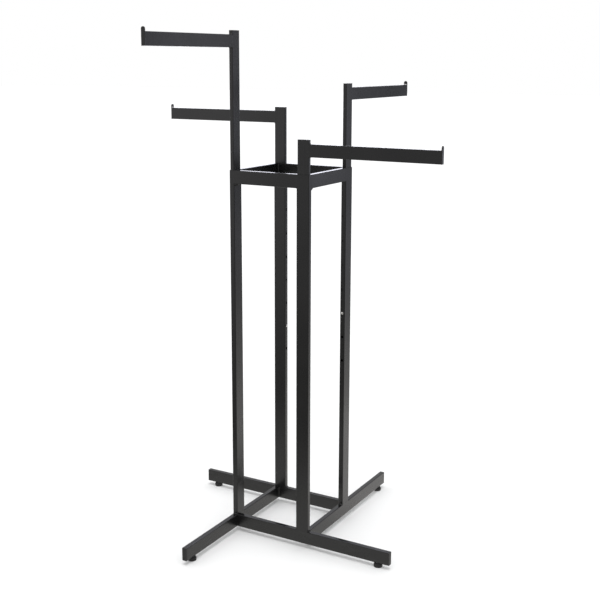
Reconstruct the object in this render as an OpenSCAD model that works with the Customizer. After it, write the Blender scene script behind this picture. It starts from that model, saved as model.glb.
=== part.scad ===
// Four way clothing rack: a welded tube frame on four legs, with four telescoping uprights.
// Each upright carries one straight arm and is held at its height by a sprung snap button.
// Millimetres, +Z up. The origin is on the floor, at the centre of the frame.
// Every part is drawn once, for the arm that points along +X, and turned into its quarter.

/* [Frame] */
// Overall width of the square frame, outside to outside
frame_w = 270; // [200:5:400]
// Height of the frame's top above the floor
frame_h = 1140; // [1100:10:1300]
// Wide side of a post's tube
tube_w = 41; // [41:0.5:44]
// Narrow side of the frame's tubes: posts, rails and legs
tube_t = 16; // [16:0.5:18]
// Wall thickness of the frame's tubes
tube_wall = 1.5; // [1.2:0.1:1.6]
// Outside corner radius of the frame's tubes
tube_r = 2; // [1.8:0.1:3]
// Height of a top rail
rail_h = 40; // [30:1:60]

/* [Legs and feet] */
// Distance from the rack's centre to the end of a leg
leg_reach = 407; // [300:1:500]
// Thickness of the head of a leg's end cap
leg_cap_head = 3; // [2:0.5:5]
// Depth of an end cap's spigot inside the tube
spigot_depth = 12; // [6:1:20]
// Height of a leg tube
leg_h = 40; // [34:1:42]
// Height of the leg's underside above the floor
foot_h = 13; // [12:1:20]
// Diameter of a foot pad at the floor
foot_d = 26; // [20:1:40]
// Distance from the end of the leg to the foot's axis
foot_inset = 38; // [20:1:80]
// Diameter of the foot's threaded stud
stud_d = 7.9; // [5.9:1:7.9]
// Length of the stud above the leg's underside
stud_length = 27; // [15:1:30]

/* [Uprights and arms] */
// Wide side of the upright tube and height of an arm
arm_w = 37; // [34:0.5:37.5]
// Narrow side of the upright tube and width of an arm
arm_t = 12; // [11.8:0.1:12.6]
// Wall thickness of the upright and arm tube
arm_wall = 1.2; // [1:0.1:1.2]
// Outside corner radius of the upright and arm tube
arm_r = 1.5; // [1.3:0.1:1.6]
// Distance from the rack's centre to the end of an arm
arm_reach = 536; // [300:1:700]
// Height of the arm's top above the upright's button
arm_rise = 691; // [650:1:720]
// How far the upright stands above its arm
upright_rise = 12; // [4:1:40]
// Length of the upright below its button
upright_tail = 35; // [34:1:60]
// Thickness of the head of an upright's top cap
top_cap_head = 2; // [1:0.5:4]
// Thickness of the end plate on an arm
end_plate_t = 2.5; // [1.5:0.5:6]
// How far the end plate stands above the arm, to keep hangers on
end_lip = 12; // [4:1:30]

/* [Height adjustment] */
// Number of holes in each post
hole_count = 7; // [5:1:7]
// Distance from one hole to the next
hole_pitch = 76.2; // [70:0.1:76.2]
// Height of the lowest hole above the floor
first_hole_z = 536; // [520:1:560]
// Diameter of a hole in a post
hole_d = 8.5; // [8.3:0.1:10]
// Hole that the right upright is set in, counted from the lowest
right_hole = 1; // [1:1:5]
// Hole that the back upright is set in
back_hole = 3; // [1:1:5]
// Hole that the left upright is set in
left_hole = 2; // [1:1:5]
// Hole that the front upright is set in
front_hole = 5; // [1:1:5]

/* [Snap button] */
// Diameter of the button
button_d = 8; // [6:0.1:8]
// How far the button stands out of the post
button_proud = 2.5; // [1:0.5:4]
// Diameter of the flange that keeps the button in the upright
flange_d = 8.8; // [8.5:0.1:8.8]
// Thickness of that flange
flange_t = 1.2; // [0.8:0.1:2]
// Diameter of the rivet that holds the button on its spring
rivet_d = 4; // [3:0.5:5]
// Width of the spring strip
spring_w = 8; // [6:0.5:9]
// Thickness of the spring strip
spring_t = 0.8; // [0.5:0.1:1]
// Inside radius of the spring's bend
spring_bend_r = 2.5; // [2:0.5:4]
// Angle between the spring's two legs
spring_angle = 35; // [30:1:36]
// Length of the spring's straight leg below the button
spring_drop = 30; // [25:1:30]

/* [Hidden] */
$fn = 48;
SIDES = ["right", "back", "left", "front"];
KINDS = ["leg", "leg_cap", "foot_insert", "foot_stud", "foot_pad",
         "post", "rail",
         "upright", "upright_cap", "arm", "arm_end",
         "spring", "button"];

QUARTERS = [0 : 3];
HOLES = [right_hole, back_hole, left_hole, front_hole];

steel_black = [0.10, 0.10, 0.105];
plastic_black = [0.05, 0.05, 0.055];
zinc_silver = [0.72, 0.73, 0.75];
spring_grey = [0.45, 0.46, 0.48];

half_w = frame_w / 2;
leg_top = foot_h + leg_h;
// axis of the post and upright in the quarter whose arm points along +X
post_x = half_w - tube_w / 2;
post_y = tube_t / 2 - half_w;
foot_x = leg_reach - foot_inset;
// face of the upright that the arm is welded to
arm_root = post_x + arm_w / 2;
arm_length = arm_reach - end_plate_t - arm_root;
inner_r = 0.3;
fit_gap = 0.2;

// threaded insert in the underside of a leg
insert_d = 10.9;
insert_flange_d = 14;
insert_flange_t = 1;
insert_length = 16;
insert_bore = 8;
pad_top = foot_h - insert_flange_t;
// bevel round the pad's foot, and the height of its sloping shoulder and how much that narrows it
pad_bevel = 1;
pad_shoulder = 4;
pad_taper = 3;
stud_bottom = 3;

// inside face of the upright's wall, from the upright's axis
arm_inside = arm_w / 2 - arm_wall;
button_reach = tube_w / 2 + button_proud;
dome_r = 6;
rivet_head = 0.6;
// flats that make up the spring's bend
bend_steps = 10;
overcut = 1;

// ---- shared shapes ----

// Point at angle a on a circle of radius r
function on_arc(r, a) = [r * cos(a), r * sin(a)];

module rounded_rect(w, h, r) {
    square([w - 2 * r, h], center = true);
    square([w, h - 2 * r], center = true);
    for (x = [-1, 1], y = [-1, 1])
        translate([x * (w / 2 - r), y * (h / 2 - r)])
            circle(r = r);
}

// Section of a rectangular tube
module tube_section(w, h, wall, r) {
    difference() {
        rounded_rect(w, h, r);
        rounded_rect(w - 2 * wall, h - 2 * wall, max(r - wall, inner_r));
    }
}

// Turns an extrusion so that it runs along +X, with its section's Y side up
module lay_along_x() {
    rotate([90, 0, 90])
        children();
}

// Moves a part from the +X quarter to quarter q
module quarter(q) {
    rotate([0, 0, 90 * q])
        children();
}

// Moves a part from the post's axis at floor level to the height of quarter q's hole
module at_hole(q) {
    translate([post_x, post_y, first_hole_z + (HOLES[q] - 1) * hole_pitch])
        children();
}

// A cylinder along X, from x0 to x1
module rod_along_x(d, x0, x1) {
    translate([x0, 0, 0])
        rotate([0, 90, 0])
            cylinder(d = d, h = x1 - x0);
}

// ---- base ----

// Leg tube: its inner end butts against the next leg, and its post stands on it
module leg() {
    inner_end = tube_t - half_w;
    color(steel_black)
        difference() {
            translate([inner_end, post_y, foot_h + leg_h / 2])
                lay_along_x()
                    linear_extrude(leg_reach - leg_cap_head - inner_end)
                        tube_section(tube_t, leg_h, tube_wall, tube_r);
            translate([foot_x, post_y, foot_h - overcut])
                cylinder(d = insert_d, h = tube_wall + 2 * overcut);
        }
}

// Plug that closes the outer end of a leg
module leg_cap() {
    color(plastic_black)
        translate([leg_reach - leg_cap_head, post_y, foot_h + leg_h / 2])
            lay_along_x() {
                linear_extrude(leg_cap_head)
                    rounded_rect(tube_t, leg_h, tube_r);
                translate([0, 0, -spigot_depth])
                    linear_extrude(spigot_depth)
                        rounded_rect(tube_t - 2 * tube_wall - fit_gap,
                                     leg_h - 2 * tube_wall - fit_gap, inner_r);
            }
}

// Flanged threaded insert that the foot screws into
module foot_insert() {
    color(zinc_silver)
        translate([foot_x, post_y, 0])
            difference() {
                union() {
                    translate([0, 0, pad_top])
                        cylinder(d = insert_flange_d, h = insert_flange_t);
                    translate([0, 0, pad_top])
                        cylinder(d = insert_d, h = insert_length);
                }
                translate([0, 0, pad_top - overcut])
                    cylinder(d = insert_bore, h = insert_length + 2 * overcut);
            }
}

// Threaded stud of a levelling foot
module foot_stud() {
    color(zinc_silver)
        translate([foot_x, post_y, stud_bottom])
            cylinder(d = stud_d, h = foot_h + stud_length - stud_bottom);
}

// Round moulded pad of a levelling foot: straight sides, bevelled at the floor and tapered above
module foot_pad() {
    color(plastic_black)
        translate([foot_x, post_y, 0])
            difference() {
                union() {
                    cylinder(d1 = foot_d - 2 * pad_bevel, d2 = foot_d, h = pad_bevel);
                    translate([0, 0, pad_bevel])
                        cylinder(d = foot_d, h = pad_top - pad_bevel - pad_shoulder);
                    translate([0, 0, pad_top - pad_shoulder])
                        cylinder(d1 = foot_d, d2 = foot_d - pad_taper, h = pad_shoulder);
                }
                translate([0, 0, stud_bottom])
                    cylinder(d = stud_d, h = foot_h);
            }
}

// ---- frame ----

// Post: stands on its leg, with the row of holes in the narrow face that looks inwards
module post() {
    color(steel_black)
        difference() {
            translate([post_x, post_y, leg_top])
                linear_extrude(frame_h - leg_top)
                    tube_section(tube_w, tube_t, tube_wall, tube_r);
            for (i = [0 : hole_count - 1])
                translate([half_w - tube_w, post_y, first_hole_z + i * hole_pitch])
                    rod_along_x(hole_d, -overcut, tube_wall + overcut);
        }
}

// Top rail: joins the wide face of one post to the narrow face of the next
module rail() {
    color(steel_black)
        translate([half_w - tube_t / 2, tube_t - half_w, frame_h - rail_h / 2])
            rotate([0, 0, 90])
                lay_along_x()
                    linear_extrude(frame_w - tube_w - tube_t)
                        tube_section(tube_t, rail_h, tube_wall, tube_r);
}

// ---- upright and arm: heights are counted from the button's axis ----

// Upright tube that slides in the post
module upright() {
    color(steel_black)
        difference() {
            translate([0, 0, -upright_tail])
                linear_extrude(upright_tail + arm_rise + upright_rise - top_cap_head)
                    tube_section(arm_w, arm_t, arm_wall, arm_r);
            rod_along_x(button_d + fit_gap, -arm_w / 2 - overcut, -arm_inside + overcut);
        }
}

// Plug that closes the top of an upright
module upright_cap() {
    color(plastic_black)
        translate([0, 0, arm_rise + upright_rise - top_cap_head]) {
            linear_extrude(top_cap_head)
                rounded_rect(arm_w, arm_t, arm_r);
            translate([0, 0, -spigot_depth])
                linear_extrude(spigot_depth)
                    rounded_rect(2 * arm_inside - fit_gap,
                                 arm_t - 2 * arm_wall - fit_gap, inner_r);
        }
}

// Straight arm that the hangers hang on
module arm() {
    color(steel_black)
        translate([arm_w / 2, 0, arm_rise - arm_w / 2])
            lay_along_x()
                linear_extrude(arm_length)
                    tube_section(arm_t, arm_w, arm_wall, arm_r);
}

// End plate of an arm, with a round-topped lip
module arm_end() {
    plate_h = arm_w + end_lip - arm_t / 2;
    color(steel_black)
        translate([arm_w / 2 + arm_length, 0, arm_rise - arm_w])
            lay_along_x()
                linear_extrude(end_plate_t) {
                    translate([-arm_t / 2, 0])
                        square([arm_t, plate_h]);
                    translate([0, plate_h])
                        circle(d = arm_t);
                }
}

// ---- snap button ----

// V-shaped strip spring inside the upright, which pushes the button out
module spring() {
    bend_x = flange_t + spring_t + spring_bend_r - arm_inside;
    color(spring_grey)
        difference() {
            rotate([90, 0, 0])
                linear_extrude(spring_w, center = true)
                    translate([bend_x, -spring_drop])
                        spring_side(bend_x);
            rod_along_x(rivet_d + fit_gap, -arm_w / 2, bend_x);
        }
}

// Side view of the spring, drawn about the centre of its bend, which lies at bend_x
module spring_side(bend_x) {
    outer_r = spring_bend_r + spring_t;
    sweep = 180 - spring_angle;
    top = spring_drop + button_d / 2 + 1;
    // the slanting leg ends where it meets the far wall of the upright
    slant = (arm_inside - fit_gap / 2 - bend_x - outer_r * cos(spring_angle)) / sin(spring_angle);
    slant_end = slant * [sin(spring_angle), cos(spring_angle)];
    outer = [for (i = [0 : bend_steps]) on_arc(outer_r, 180 + i * sweep / bend_steps)];
    inner = [for (i = [bend_steps : -1 : 0]) on_arc(spring_bend_r, 180 + i * sweep / bend_steps)];
    polygon(concat([[-outer_r, top]],
                   outer,
                   [outer[bend_steps] + slant_end, inner[0] + slant_end],
                   inner,
                   [[-spring_bend_r, top]]));
}

// Domed button with its flange and rivet
module button() {
    color(zinc_silver) {
        intersection() {
            rod_along_x(button_d, -button_reach, -arm_inside);
            translate([dome_r - button_reach, 0, 0])
                sphere(r = dome_r);
        }
        rod_along_x(flange_d, -arm_inside, flange_t - arm_inside);
        rod_along_x(rivet_d, -arm_inside, flange_t + spring_t + rivet_head - arm_inside);
    }
}

for (q = QUARTERS) {
    side = SIDES[q];
    quarter(q) leg();
    quarter(q) leg_cap();
    quarter(q) foot_insert();
    quarter(q) foot_stud();
    quarter(q) foot_pad();
    quarter(q) post();
    quarter(q) rail();
    quarter(q) at_hole(q) upright();
    quarter(q) at_hole(q) upright_cap();
    quarter(q) at_hole(q) arm();
    quarter(q) at_hole(q) arm_end();
    quarter(q) at_hole(q) spring();
    quarter(q) at_hole(q) button();
}
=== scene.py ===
"""Looks of the four way clothing rack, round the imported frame: finishes, weld beads, threaded
studs, moulded foot pads and bent strip springs, with a plain floor, soft light and a camera.
"""
import math
import random

import bmesh
import bpy
from mathutils import Matrix, Vector


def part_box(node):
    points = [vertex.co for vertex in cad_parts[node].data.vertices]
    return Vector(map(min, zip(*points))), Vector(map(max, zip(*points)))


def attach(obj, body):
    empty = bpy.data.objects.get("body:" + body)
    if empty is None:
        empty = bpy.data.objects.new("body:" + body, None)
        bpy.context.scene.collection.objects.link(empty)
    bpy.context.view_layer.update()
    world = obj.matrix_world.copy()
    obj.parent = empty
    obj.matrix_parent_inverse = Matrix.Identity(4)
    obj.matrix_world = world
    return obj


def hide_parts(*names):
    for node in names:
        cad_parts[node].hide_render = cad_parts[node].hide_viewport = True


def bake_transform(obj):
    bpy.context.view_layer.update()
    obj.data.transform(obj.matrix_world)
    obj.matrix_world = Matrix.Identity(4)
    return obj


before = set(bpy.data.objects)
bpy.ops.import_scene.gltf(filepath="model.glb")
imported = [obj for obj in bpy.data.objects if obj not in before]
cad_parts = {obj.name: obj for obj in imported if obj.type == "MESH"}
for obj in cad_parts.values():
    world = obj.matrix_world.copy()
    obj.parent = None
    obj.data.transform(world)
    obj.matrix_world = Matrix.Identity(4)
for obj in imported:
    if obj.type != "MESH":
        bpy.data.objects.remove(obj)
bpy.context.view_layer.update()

MM = 0.001
SIDES = ["right", "back", "left", "front"]
X, Y, Z = Vector((1, 0, 0)), Vector((0, 1, 0)), Vector((0, 0, 1))

# outside corner radii of the tubes
POST_R = 2.0 * MM
ARM_R = 1.5 * MM


def rgb(r, g, b):
    return (r, g, b, 1.0)


# colours of the black coat: its two depths, worn edges, scuffs, marks of hangers, and dust
COAT_DEEP, COAT_PALE = rgb(0.0034, 0.0035, 0.0037), rgb(0.0056, 0.0055, 0.0057)
COAT_WORN = rgb(0.055, 0.055, 0.057)
COAT_SCUFF = rgb(0.030, 0.030, 0.031)
COAT_RUB = rgb(0.045, 0.045, 0.046)
DUST = rgb(0.16, 0.155, 0.15)

# colours of black plastic, the same way
PLASTIC_DEEP, PLASTIC_PALE = rgb(0.0095, 0.0095, 0.0100), rgb(0.0150, 0.0150, 0.0155)
PLASTIC_WORN = rgb(0.075, 0.073, 0.070)

# weld beads
BEAD_PITCH = 1.7 * MM    # from one scallop to the next
BEAD_STEP = 0.35 * MM    # between two cross-sections
BEAD_ROOT = 0.3 * MM     # how far a bead reaches into the metal behind its corner
FLUSH_STEP = 1.0 * MM
FLUSH_MARGIN = 0.7 * MM  # how far a ground-down weld spreads past its groove
FLUSH_CROWN = 0.12 * MM


# ---------------------------------------------------------------- materials

class Nodes:
    """A new material's node tree, with short ways to add and join nodes."""

    def __init__(self, name, **constants):
        self.material = bpy.data.materials.new(name)
        self.material.use_nodes = True
        self.tree = self.material.node_tree
        self.shader = self.tree.nodes["Principled BSDF"]
        for socket, value in constants.items():
            self.shader.inputs[socket.replace("_", " ")].default_value = value
        self.place = self.add("ShaderNodeTexCoord").outputs["Object"]

    def add(self, kind, **settings):
        node = self.tree.nodes.new(kind)
        for key, value in settings.items():
            setattr(node, key, value)
        return node

    def join(self, source, target):
        self.tree.links.new(source, target)

    def feed(self, sockets, values):
        """Joins each input socket to its value where that is an output, or else sets it."""
        for socket, value in zip(sockets, values):
            if isinstance(value, bpy.types.NodeSocket):
                self.join(value, socket)
            else:
                socket.default_value = value

    def put(self, node, **values):
        """Feeds inputs by name; an underscore stands for a space."""
        self.feed([node.inputs[key.replace("_", " ")] for key in values], values.values())
        return node

    def stretched(self, scale):
        """Object coordinates times scale, one number for each axis."""
        mapping = self.add("ShaderNodeMapping")
        self.put(mapping, Vector=self.place, Scale=scale)
        return mapping.outputs["Vector"]

    def noise(self, scale, detail, rough, where=None):
        node = self.add("ShaderNodeTexNoise")
        self.put(node, Vector=where or self.place, Scale=scale, Detail=detail, Roughness=rough)
        return node.outputs["Fac"]

    def spread(self, value, low, high, to_low, to_high):
        """value from low..high to to_low..to_high, held at the ends."""
        node = self.add("ShaderNodeMapRange")
        self.put(node, Value=value, From_Min=low, From_Max=high, To_Min=to_low, To_Max=to_high)
        return node.outputs["Result"]

    def plus(self, a, b):
        node = self.add("ShaderNodeMath", operation="ADD")
        self.feed(node.inputs, (a, b))
        return node.outputs[0]

    def times(self, a, b):
        node = self.add("ShaderNodeMath", operation="MULTIPLY")
        self.feed(node.inputs, (a, b))
        return node.outputs[0]

    def mixed(self, share, a, b):
        """Colour a at share 0 and b at share 1."""
        node = self.add("ShaderNodeMix", data_type="RGBA")
        self.feed((node.inputs[0], node.inputs[6], node.inputs[7]), (share, a, b))
        return node.outputs[2]

    def between(self, share, a, b):
        """Number a at share 0 and b at share 1."""
        node = self.add("ShaderNodeMix", data_type="FLOAT")
        self.feed((node.inputs[0], node.inputs[2], node.inputs[3]), (share, a, b))
        return node.outputs[0]

    def edges(self, radius):
        """1 along sharp edges and 0 on flat faces."""
        bevel = self.put(self.add("ShaderNodeBevel", samples=6), Radius=radius)
        flat = self.add("ShaderNodeNewGeometry").outputs["Normal"]
        dot = self.add("ShaderNodeVectorMath", operation="DOT_PRODUCT")
        self.join(bevel.outputs["Normal"], dot.inputs[0])
        self.join(flat, dot.inputs[1])
        return self.spread(dot.outputs["Value"], 0.75, 0.995, 1.0, 0.0)

    def upward(self):
        """1 on faces that look up."""
        split = self.add("ShaderNodeSeparateXYZ")
        self.join(self.add("ShaderNodeNewGeometry").outputs["Normal"], split.inputs[0])
        return self.spread(split.outputs["Z"], 0.6, 0.95, 0.0, 1.0)

    def bumps(self, *layers, edge):
        """Stacks (height, strength, distance) layers over softly rounded edges."""
        normal = self.put(self.add("ShaderNodeBevel", samples=6), Radius=edge).outputs["Normal"]
        for height, strength, distance in layers:
            bump = self.add("ShaderNodeBump")
            self.put(bump, Height=height, Strength=strength, Distance=distance, Normal=normal)
            normal = bump.outputs["Normal"]
        self.join(normal, self.shader.inputs["Normal"])

    def finish(self, colour, roughness):
        self.put(self.shader, Base_Color=colour, Roughness=roughness)
        return self.material


def powder_coat(name, streaks=None, rub=None, dust=0.25, sheen=0.0):
    """Satin black powder coat with orange peel.

    streaks is a scale for fine scuffs that run one way, and rub a scale for
    the marks that hangers leave across the top of an arm. sheen is how much
    smoother the faces that look up are.
    """
    m = Nodes(name, IOR=1.5, Specular_IOR_Level=0.5)
    cloud = m.noise(7.0, 4.0, 0.55)
    peel = m.noise(620.0, 2.0, 0.5)
    grain = m.noise(2600.0, 1.0, 0.5)
    colour = m.mixed(m.spread(cloud, 0.3, 0.7, 0.0, 1.0), COAT_DEEP, COAT_PALE)
    rough = m.spread(cloud, 0.3, 0.7, 0.24, 0.31)
    rough = m.plus(rough, m.spread(peel, 0.3, 0.7, -0.02, 0.03))
    if sheen:
        rough = m.plus(rough, m.times(m.upward(), -sheen))
    layers = [(peel, 0.16, 0.0006), (grain, 0.05, 0.0002)]
    worn = m.times(m.edges(0.0012), m.spread(m.noise(55.0, 5.0, 0.6), 0.48, 0.72, 0.0, 0.45))
    colour = m.mixed(worn, colour, COAT_WORN)
    if streaks:
        scuffs = m.noise(1.0, 6.0, 0.65, m.stretched(streaks))
        mask = m.spread(scuffs, 0.52, 0.74, 0.0, 1.0)
        colour = m.mixed(m.times(mask, 0.30), colour, COAT_SCUFF)
        rough = m.plus(rough, m.times(mask, 0.10))
        layers.append((scuffs, 0.04, 0.0002))
    if rub:
        marks = m.noise(1.0, 4.0, 0.7, m.stretched(rub))
        mask = m.times(m.spread(marks, 0.45, 0.65, 0.0, 1.0), m.upward())
        colour = m.mixed(m.times(mask, 0.45), colour, COAT_RUB)
        rough = m.plus(rough, m.times(mask, -0.10))
        layers.append((marks, 0.05, 0.0002))
    specks = m.spread(m.noise(340.0, 2.0, 0.6), 0.62, 0.74, 0.0, dust)
    settled = m.plus(m.times(m.upward(), 0.55), 0.12)
    colour = m.mixed(m.times(specks, settled), colour, DUST)
    m.bumps(*layers, edge=0.0005)
    return m.finish(colour, rough)


def plastic(name, grain_scale, rough_low, rough_high, scuff=0.2):
    """Black moulded plastic with the fine grain of a spark-eroded mould."""
    m = Nodes(name, IOR=1.46, Specular_IOR_Level=0.4)
    grain = m.noise(grain_scale, 3.0, 0.6)
    cloud = m.noise(30.0, 3.0, 0.5)
    colour = m.mixed(m.spread(cloud, 0.3, 0.7, 0.0, 1.0), PLASTIC_DEEP, PLASTIC_PALE)
    worn = m.times(m.edges(0.0010), m.spread(m.noise(180.0, 4.0, 0.6), 0.42, 0.7, 0.0, scuff))
    colour = m.mixed(worn, colour, PLASTIC_WORN)
    rough = m.spread(grain, 0.25, 0.75, rough_low, rough_high)
    m.bumps((grain, 0.22, 0.0003), (cloud, 0.08, 0.0006), edge=0.0006)
    return m.finish(colour, rough)


def plated(name, dark, light, rough_low, rough_high, scratch, dull):
    """Plated or bare steel with fine scratches and slightly dulled patches."""
    m = Nodes(name, Metallic=1.0)
    cloud = m.noise(420.0, 4.0, 0.6)
    lines = m.noise(1.0, 6.0, 0.7, m.stretched(scratch))
    colour = m.mixed(m.spread(cloud, 0.35, 0.65, 0.0, 1.0), rgb(*dark), rgb(*light))
    patches = m.spread(m.noise(160.0, 3.0, 0.6), 0.5, 0.75, 0.0, dull)
    colour = m.mixed(patches, colour, rgb(dark[0] * 0.55, dark[1] * 0.54, dark[2] * 0.52))
    rough = m.plus(m.spread(lines, 0.3, 0.7, rough_low, rough_high), m.times(patches, 0.3))
    m.bumps((lines, 0.10, 0.0002), (cloud, 0.05, 0.0002), edge=0.0002)
    return m.finish(colour, rough)


def floor_paint():
    """Plain pale studio floor with a faint mottle."""
    m = Nodes("studio_floor", Specular_IOR_Level=0.0)
    cloud = m.noise(1.3, 3.0, 0.5)
    pale, paler = rgb(0.858, 0.863, 0.866), rgb(0.868, 0.870, 0.871)
    colour = m.mixed(m.spread(cloud, 0.3, 0.7, 0.0, 1.0), pale, paler)
    m.put(m.shader, Base_Color=colour, Roughness=m.spread(cloud, 0.3, 0.7, 0.62, 0.68))
    return m.material


coat_frame = powder_coat("coat_frame", dust=0.30)
coat_leg = powder_coat("coat_leg", streaks=(26.0, 26.0, 90.0), dust=0.30, sheen=0.16)
coat_upright = powder_coat("coat_upright", streaks=(420.0, 420.0, 5.0), dust=0.15)
coat_arm_x = powder_coat("coat_arm_x", rub=(380.0, 12.0, 12.0), dust=0.25)
coat_arm_y = powder_coat("coat_arm_y", rub=(12.0, 380.0, 12.0), dust=0.25)
cap_plastic = plastic("cap_plastic", 1500.0, 0.38, 0.50)
pad_plastic = plastic("pad_plastic", 1100.0, 0.48, 0.62, scuff=0.35)
zinc = plated("zinc_plate", (0.56, 0.57, 0.59), (0.66, 0.67, 0.68), 0.26, 0.40,
              scratch=(240.0, 240.0, 240.0), dull=0.25)
nickel = plated("nickel_plate", (0.72, 0.71, 0.69), (0.80, 0.79, 0.77), 0.12, 0.22,
                scratch=(600.0, 600.0, 600.0), dull=0.10)
# bare bright metal for the bead inside the lip: a painted highlight, not wear
painted_highlight_bead = plated("painted_highlight_bead", (0.50, 0.49, 0.48), (0.64, 0.63, 0.62), 0.38, 0.55,
                   scratch=(900.0, 900.0, 900.0), dull=0.2)
spring_steel = plated("spring_steel", (0.30, 0.30, 0.31), (0.40, 0.40, 0.42), 0.28, 0.42,
                      scratch=(900.0, 900.0, 25.0), dull=0.3)

for q, side in enumerate(SIDES):
    finishes = {
        "leg": coat_leg, "post": coat_frame, "rail": coat_frame, "upright": coat_upright,
        "arm": (coat_arm_x, coat_arm_y)[q % 2], "arm_end": coat_frame,
        "leg_cap": cap_plastic, "upright_cap": cap_plastic, "foot_pad": pad_plastic,
        "foot_insert": zinc, "foot_stud": zinc, "spring": spring_steel, "button": nickel,
    }
    for kind, material in finishes.items():
        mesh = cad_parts[f"{side}_{kind}"].data
        mesh.materials.clear()
        mesh.materials.append(material)


# ---------------------------------------------------------------- pieces

def new_object(name, data):
    obj = bpy.data.objects.new(name, data)
    bpy.context.scene.collection.objects.link(obj)
    return obj


def turned(q):
    """From the quarter whose arm points along +X to quarter q."""
    return Matrix.Rotation(math.radians(90 * q), 4, "Z")


def quarter_box(side, kind):
    """A node's box turned back to the +X quarter: lowest and highest corner."""
    back = turned(-SIDES.index(side))
    a, b = (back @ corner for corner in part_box(f"{side}_{kind}"))
    return Vector(map(min, a, b)), Vector(map(max, a, b))


def loft(bm, rings):
    """Closes a row of equal rings into a tube with capped ends."""
    made = [[bm.verts.new(p) for p in ring] for ring in rings]
    count = len(made[0])
    for a, b in zip(made, made[1:]):
        for i in range(count):
            j = (i + 1) % count
            bm.faces.new((a[i], a[j], b[j], b[i]))
    bm.faces.new(made[0][::-1])
    bm.faces.new(made[-1])


def ripple(s, phase):
    """Overlapping scallops of a weld bead: 0 in the valleys and 1 on the crests."""
    u = (s / BEAD_PITCH + phase) % 1.0
    return math.sqrt(max(0.0, 1.0 - (2.0 * u - 1.0) ** 2))


def fillet_bead(bm, start, end, a, b, size, rng):
    """Weld bead in the corner between two faces, along start to end.

    a and b point from the corner along the two faces, across the bead.
    """
    length = (end - start).length
    along = (end - start) / length
    phase = rng.random()
    count = max(8, round(length / BEAD_STEP))
    wobble = [rng.uniform(-1, 1) for _ in range(6)]
    rings = []
    for i in range(count + 1):
        s = length * i / count
        waves = (w * math.sin((k + 1) * 2.1 * s / (6 * MM) + 3 * w) for k, w in enumerate(wobble))
        wave = sum(waves) / 6
        taper = min(1.0, (min(s, length - s) + 0.4 * MM) / (1.6 * MM))
        r = size * (0.90 + 0.14 * ripple(s, phase) + 0.10 * wave) * math.sqrt(taper)
        point = start + along * s
        ring = [point - BEAD_ROOT * (a + b)]
        for k in range(9):
            t = k / 8
            bulge = 4 * t * (1 - t)
            outward = 0.20 * r * bulge * (a + b).normalized()
            ring.append(point + r * ((1 - t) * a + t * b) + outward)
        rings.append(ring)
    loft(bm, rings)


def flush_bead(bm, start, end, across, out, width, rng):
    """Ground-down weld that fills the groove beside start to end and stands almost flush.

    across points over the groove, whose width is given, and out is the faces' normal.
    """
    depth = 1.6 * MM
    length = (end - start).length
    along = (end - start) / length
    count = max(6, round(length / FLUSH_STEP))
    shift = [rng.uniform(-1, 1) for _ in range(count + 1)]
    rings = []
    for i in range(count + 1):
        point = start + along * length * i / count
        edge = 0.18 * MM * shift[i]
        low, high = -FLUSH_MARGIN + edge, width + FLUSH_MARGIN + edge
        ring = [point + across * low - out * depth]
        for k in range(7):
            t = k / 6
            crown = FLUSH_CROWN * (1 - (2 * t - 1) ** 4) - 0.02 * MM
            ring.append(point + across * (low + t * (high - low)) + out * crown)
        ring.append(point + across * high - out * depth)
        rings.append(ring)
    loft(bm, rings)


def lathe(bm, centre, profile, steps=64):
    """Turns a closed profile of (radius, height) pairs round a vertical axis."""
    rings = []
    for i in range(steps):
        angle = 2 * math.pi * i / steps
        out = Vector((math.cos(angle), math.sin(angle), 0))
        rings.append([bm.verts.new(centre + out * r + Z * z) for r, z in profile])
    count = len(profile)
    for i in range(steps):
        a, b = rings[i], rings[(i + 1) % steps]
        for k in range(count):
            j = (k + 1) % count
            bm.faces.new((a[k], b[k], b[j], a[j]))


def piece(name, bm, body, material, crease=35.0):
    """Makes the mesh object, smooth but for creases.

    It rides on the body, if one is named.
    """
    bmesh.ops.recalc_face_normals(bm, faces=bm.faces)
    mesh = bpy.data.meshes.new(name)
    bm.to_mesh(mesh)
    bm.free()
    mesh.materials.append(material)
    mesh.polygons.foreach_set("use_smooth", [True] * len(mesh.polygons))
    mesh.set_sharp_from_angle(angle=math.radians(crease))
    obj = new_object(name, mesh)
    if body:
        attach(obj, body)
    return obj


def weld_piece(name, q, body, draw, material=coat_frame):
    """Draws beads in the +X quarter and turns them into quarter q."""
    bm = bmesh.new()
    draw(bm, random.Random(f"{name} welds"))
    bm.transform(turned(q))
    return piece(name, bm, body, material, crease=60.0)


def leg_welds(side):
    """Where the leg's inner end meets the side of the next leg."""
    lo, hi = quarter_box(side, "leg")
    r, x = POST_R, lo.x

    def draw(bm, rng):
        y = hi.y
        fillet_bead(bm, Vector((x, y, lo.z + r)), Vector((x, y, hi.z - r)), X, Y, 2.6 * MM, rng)
        for z, out in ((hi.z, Z), (lo.z, -Z)):
            flush_bead(bm, Vector((x, lo.y + r, z)), Vector((x, hi.y - r, z)), -X, out, r, rng)
    return draw


def post_welds(side):
    """Round the foot of the post, where it stands on its leg."""
    lo, hi = quarter_box(side, "post")
    r, z = POST_R, lo.z
    y_low, y_high = lo.y + 0.6 * r, hi.y - 0.6 * r

    def draw(bm, rng):
        for x, out in ((lo.x, -X), (hi.x, X)):
            fillet_bead(bm, Vector((x, y_low, z)), Vector((x, y_high, z)), out, Z, 3.2 * MM, rng)
        for y, out in ((lo.y, -Y), (hi.y, Y)):
            flush_bead(bm, Vector((lo.x + r, y, z)), Vector((hi.x - r, y, z)), -Z, out, r, rng)
    return draw


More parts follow.
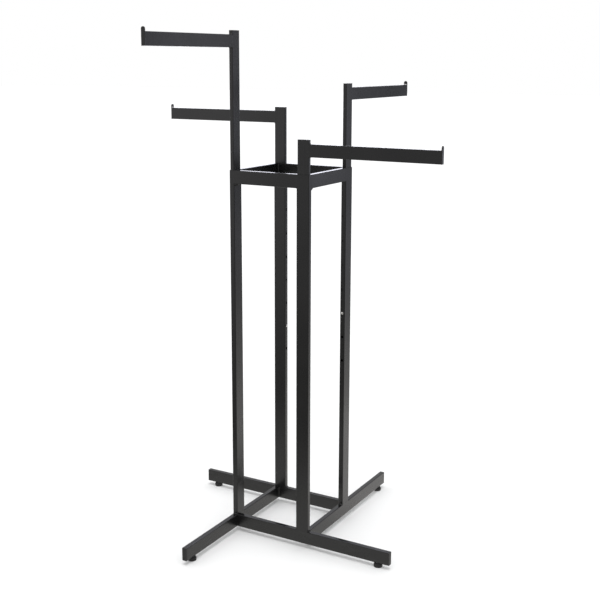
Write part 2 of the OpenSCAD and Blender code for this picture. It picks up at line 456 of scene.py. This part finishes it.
def rail_welds(side):
    """Where the rail's ends meet the wide face of its post and the narrow face of the next.

    The bead under the end at its own post is large and long along the rail.
    """
    lo, hi = quarter_box(side, "rail")
    r = POST_R
    x_low, x_high = lo.x + 0.7 * r, hi.x - 0.7 * r
    z_low, z_high = lo.z + r, hi.z - r

    def draw(bm, rng):
        for y, out, reach, size in ((lo.y, Y, 2.0, 7.0 * MM), (hi.y, -Y, 1.0, 2.2 * MM)):
            fillet_bead(bm, Vector((x_low, y, lo.z)), Vector((x_high, y, lo.z)),
                        out * reach, -Z, size, rng)
            flush_bead(bm, Vector((hi.x, y, z_low)), Vector((hi.x, y, z_high)), -out, X, r, rng)
        flush_bead(bm, Vector((lo.x, hi.y, z_low)), Vector((lo.x, hi.y, z_high)), Y, -X, r, rng)
        fillet_bead(bm, Vector((lo.x, lo.y, z_low)), Vector((lo.x, lo.y, z_high)),
                    Y, -X, 2.6 * MM, rng)
    return draw


def arm_welds(side):
    """Where the arm meets its upright."""
    lo, hi = quarter_box(side, "arm")
    r, x = ARM_R, lo.x
    y_low, y_high = lo.y + 0.6 * r, hi.y - 0.6 * r

    def draw(bm, rng):
        for z, out, size in ((lo.z, -Z, 2.6 * MM), (hi.z, Z, 2.2 * MM)):
            fillet_bead(bm, Vector((x, y_low, z)), Vector((x, y_high, z)), X, out, size, rng)
        for y, out in ((lo.y, -Y), (hi.y, Y)):
            flush_bead(bm, Vector((x, y, lo.z + r)), Vector((x, y, hi.z - r)), -X, out, r, rng)
    return draw


def lip_weld(side):
    """Inside the lip, a bead of bare bright metal: a painted highlight along the base of the lip.
    """
    lo, hi = quarter_box(side, "arm")
    r = ARM_R

    def draw(bm, rng):
        start, end = Vector((hi.x, lo.y + 0.3 * r, hi.z)), Vector((hi.x, hi.y - 0.3 * r, hi.z))
        fillet_bead(bm, start, end, -X, Z, 2.4 * MM, rng)
    return draw


def thread(bm, x, y, low, high, radius):
    """A screw-threaded stud: the radius follows a helix up the height."""
    around, depth, pitch = 24, 0.68 * MM, 1.25 * MM
    rows = round((high - low) / (pitch / 6))
    rings = []
    for i in range(rows + 1):
        z = low + (high - low) * i / rows
        lead = min(1.0, (high - z) / (1.2 * MM) + 0.25, (z - low) / (1.2 * MM) + 0.25)
        ring = []
        for k in range(around):
            turn = k / around
            angle = 2 * math.pi * turn
            u = ((z - low) / pitch - turn) % 1.0
            crest = min(1.0, max(0.0, 1.55 - 3.1 * abs(u - 0.5)))
            r = (radius - depth) * (0.9 + 0.1 * lead) + depth * crest * lead
            ring.append(Vector((x + r * math.cos(angle), y + r * math.sin(angle), z)))
        rings.append(ring)
    loft(bm, rings)


def rounded(points, radius, steps=5):
    """Rounds the corners of a closed profile of (radius, height) pairs."""
    out = []
    count = len(points)
    for i, p in enumerate(points):
        here = Vector(p)
        before, after = Vector(points[i - 1]) - here, Vector(points[(i + 1) % count]) - here
        cut = min(radius, 0.45 * before.length, 0.45 * after.length)
        a, b = here + before.normalized() * cut, here + after.normalized() * cut
        for k in range(steps + 1):
            t = k / steps
            out.append(tuple((1 - t) ** 2 * a + 2 * t * (1 - t) * here + t ** 2 * b))
    return out


def foot_pieces(side):
    """A moulded pad and a threaded stud for one levelling foot."""
    stud_lo, stud_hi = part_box(f"{side}_foot_stud")
    pad_lo, pad_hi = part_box(f"{side}_foot_pad")
    centre = (pad_lo + pad_hi) / 2
    foot = Vector((centre.x, centre.y, 0))
    wide = (pad_hi.x - pad_lo.x) / 2
    top = pad_hi.z
    bore = (stud_hi.x - stud_lo.x) / 2
    bm = bmesh.new()
    profile = rounded([
        (bore, stud_lo.z), (bore, top),
        (wide - 2.0 * MM, top), (wide - 0.4 * MM, top - 3.2 * MM),
        (wide, top - 4.4 * MM), (wide, 1.0 * MM), (wide - 1.0 * MM, 0.0),
        (wide * 0.55, 0.0), (wide * 0.50, 0.8 * MM),
        (0.4 * MM, 0.8 * MM), (0.4 * MM, stud_lo.z),
    ], 0.9 * MM)
    lathe(bm, foot, profile)
    pad = piece(f"{side}_moulded_pad", bm, f"{side}_foot", pad_plastic)
    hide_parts(f"{side}_foot_pad")
    bm = bmesh.new()
    thread(bm, centre.x, centre.y, stud_lo.z + 0.1 * MM, stud_hi.z, bore)
    stud = piece(f"{side}_threaded_stud", bm, f"{side}_foot", zinc, crease=50.0)
    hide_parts(f"{side}_foot_stud")


def bent_spring(side):
    """The strip spring with softened edges.

    It is made from the node's mesh and rides on no body.
    """
    bm = bmesh.new()
    bm.from_mesh(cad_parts[f"{side}_spring"].data)
    bmesh.ops.remove_doubles(bm, verts=bm.verts, dist=0.002 * MM)
    sharp = [e for e in bm.edges
             if len(e.link_faces) == 2 and e.calc_face_angle() > math.radians(40.0)]
    bmesh.ops.bevel(bm, geom=sharp, offset=0.12 * MM, segments=2, profile=0.5, affect="EDGES")
    spring = piece(f"{side}_bent_spring", bm, None, spring_steel)
    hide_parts(f"{side}_spring")
    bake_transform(spring)


for q, side in enumerate(SIDES):
    weld_piece(f"{side}_leg_welds", q, "frame", leg_welds(side))
    weld_piece(f"{side}_post_welds", q, "frame", post_welds(side))
    weld_piece(f"{side}_rail_welds", q, "frame", rail_welds(side))
    weld_piece(f"{side}_arm_welds", q, f"{side}_arm_assembly", arm_welds(side))
    # the lip's bead takes the bare bright metal, a painted highlight
    weld_piece(f"{side}_lip_weld", q, f"{side}_arm_assembly", lip_weld(side), painted_highlight_bead)
    foot_pieces(side)
    bent_spring(side)


# ---------------------------------------------------------------- studio

# strengths of the white surroundings, and of the light from above on top of them
SURROUNDINGS = 1.0
TOP_LIGHT = 1.0

# the camera's place in metres, its heading, tilt below level and roll in degrees, and its lens
CAMERA_PLACE = (1.5697, -2.6811, 1.4613)
CAMERA_HEADING, CAMERA_TILT, CAMERA_ROLL = 29.95, 11.32, 0.11
CAMERA_LENS, CAMERA_SENSOR = 62.09, 36.0
CAMERA_SHIFT = (0.0020, -0.0557)

# the drum of cards: its radius, the height of its top, and how far its bottom is off the floor
DRUM_R, DRUM_TOP, DRUM_LIFT = 1.2, 6.0, 0.5 * MM


def studio_floor():
    bm = bmesh.new()
    bmesh.ops.create_grid(bm, x_segments=4, y_segments=4, size=40.0)
    mesh = bpy.data.meshes.new("studio_floor")
    bm.to_mesh(mesh)
    bm.free()
    mesh.materials.append(floor_paint())
    obj = new_object("studio_floor", mesh)
    obj.visible_glossy = False


def top_light():
    """A soft light from straight above, with the same strength all over the floor."""
    data = bpy.data.lights.new("top_light", "SUN")
    data.angle = math.radians(16.0)
    data.energy = TOP_LIGHT
    new_object("top_light", data)


def reflector():
    """Soft boxes and cards round the rack, which only its glossy surfaces see.

    They stand on a drum, and the drum's bottom is what the surfaces see of the floor. How bright
    each card is, by direction and height, was chosen by measure against the photo.
    """
    sides = 96
    bm = bmesh.new()
    low, high = [], []
    for i in range(sides):
        a = 2 * math.pi * i / sides
        low.append(bm.verts.new((DRUM_R * math.cos(a), DRUM_R * math.sin(a), DRUM_LIFT)))
        high.append(bm.verts.new((DRUM_R * math.cos(a), DRUM_R * math.sin(a), DRUM_TOP)))
    bm.faces.new(low)
    for i in range(sides):
        j = (i + 1) % sides
        bm.faces.new((low[i], low[j], high[j], high[i]))
    mesh = bpy.data.meshes.new("studio_cards")
    bm.to_mesh(mesh)
    bm.free()

    m = Nodes("studio_cards", Specular_IOR_Level=0.0)
    split = m.add("ShaderNodeSeparateXYZ")
    m.join(m.place, split.inputs[0])
    y, z = split.outputs["Y"], split.outputs["Z"]

    def panel(azimuth, start, full):
        """Share of a soft box whose middle lies at the azimuth, in degrees."""
        facing = m.add("ShaderNodeVectorMath", operation="DOT_PRODUCT")
        m.join(m.place, facing.inputs[0])
        angle = math.radians(azimuth)
        facing.inputs[1].default_value = (math.cos(angle), math.sin(angle), 0.0)
        return m.spread(facing.outputs["Value"], start * DRUM_R, full * DRUM_R, 0.0, 1.0)

    # walls of cards in front (y < 0) and behind
    rear = m.spread(y, -0.3, 0.3, 0.0, 1.0)
    front_card = m.spread(z, 0.05, 1.05, 0.23, 0.57)
    rear_card = m.plus(m.spread(z, 0.05, 0.45, 0.30, 0.0), m.spread(z, 0.75, 1.0, 0.56, 0.29))
    glow = m.between(rear, front_card, rear_card)

    # soft boxes at the left and the right, a black card at the right, and the rear band
    left_box = m.times(panel(205.0, 0.73, 0.96), m.spread(z, 0.2, 0.7, 0.15, 0.42))
    glow = m.plus(glow, left_box)
    right_box = m.times(panel(47.0, 0.975, 0.997), m.spread(z, 0.90, 1.05, 0.12, 0.90))
    glow = m.plus(glow, right_box)
    glow = m.between(panel(9.0, 0.85, 0.895), glow, 0.12)
    band = m.plus(m.spread(z, 0.95, 1.15, 0.68, 3.4), m.spread(z, 1.45, 1.75, 0.0, -2.2))
    glow = m.between(panel(120.0, 0.72, 0.92), glow, band)

    # the bottom is dimmer away from the rack in front, and even behind
    spot = m.add("ShaderNodeVectorMath", operation="LENGTH")
    m.join(m.place, spot.inputs[0])
    near = m.spread(spot.outputs["Value"], 0.5, 1.0, 0.82, 0.22)
    bottom = m.between(m.spread(y, 0.05, 0.3, 0.0, 1.0), near, 1.17)
    glow = m.between(m.spread(z, DRUM_LIFT, 0.02, 0.0, 1.0), bottom, glow)

    # cooler high up and behind, warmer low down
    cool = m.mixed(rear, rgb(1.0, 0.99, 1.0), rgb(0.96, 0.97, 1.07))
    warm = m.mixed(rear, rgb(1.01, 1.0, 0.97), rgb(1.03, 1.01, 0.99))
    tint = m.mixed(m.spread(z, 0.2, 0.9, 0.0, 1.0), warm, cool)
    m.put(m.shader, Base_Color=rgb(0.0, 0.0, 0.0),
          Emission_Color=tint, Emission_Strength=glow)
    mesh.materials.append(m.material)
    obj = new_object("studio_cards", mesh)
    obj.visible_camera = False
    obj.visible_diffuse = False
    obj.visible_shadow = False


def studio_world():
    world = bpy.data.worlds.new("studio")
    world.use_nodes = True
    background = world.node_tree.nodes["Background"]
    background.inputs["Color"].default_value = rgb(1.0, 1.0, 1.0)
    background.inputs["Strength"].default_value = SURROUNDINGS
    bpy.context.scene.world = world


def studio_camera():
    data = bpy.data.cameras.new("camera")
    data.sensor_width = CAMERA_SENSOR
    data.lens = CAMERA_LENS
    data.shift_x, data.shift_y = CAMERA_SHIFT
    data.clip_end = 200.0
    obj = new_object("camera", data)
    turn = Matrix.Rotation(math.radians(CAMERA_HEADING), 4, "Z")
    turn = turn @ Matrix.Rotation(math.radians(90.0 - CAMERA_TILT), 4, "X")
    turn = turn @ Matrix.Rotation(math.radians(CAMERA_ROLL), 4, "Z")
    obj.matrix_world = Matrix.Translation(CAMERA_PLACE) @ turn
    bpy.context.scene.camera = obj


studio_floor()
studio_world()
top_light()
reflector()
studio_camera()
bpy.context.scene.view_settings.view_transform = "Standard"
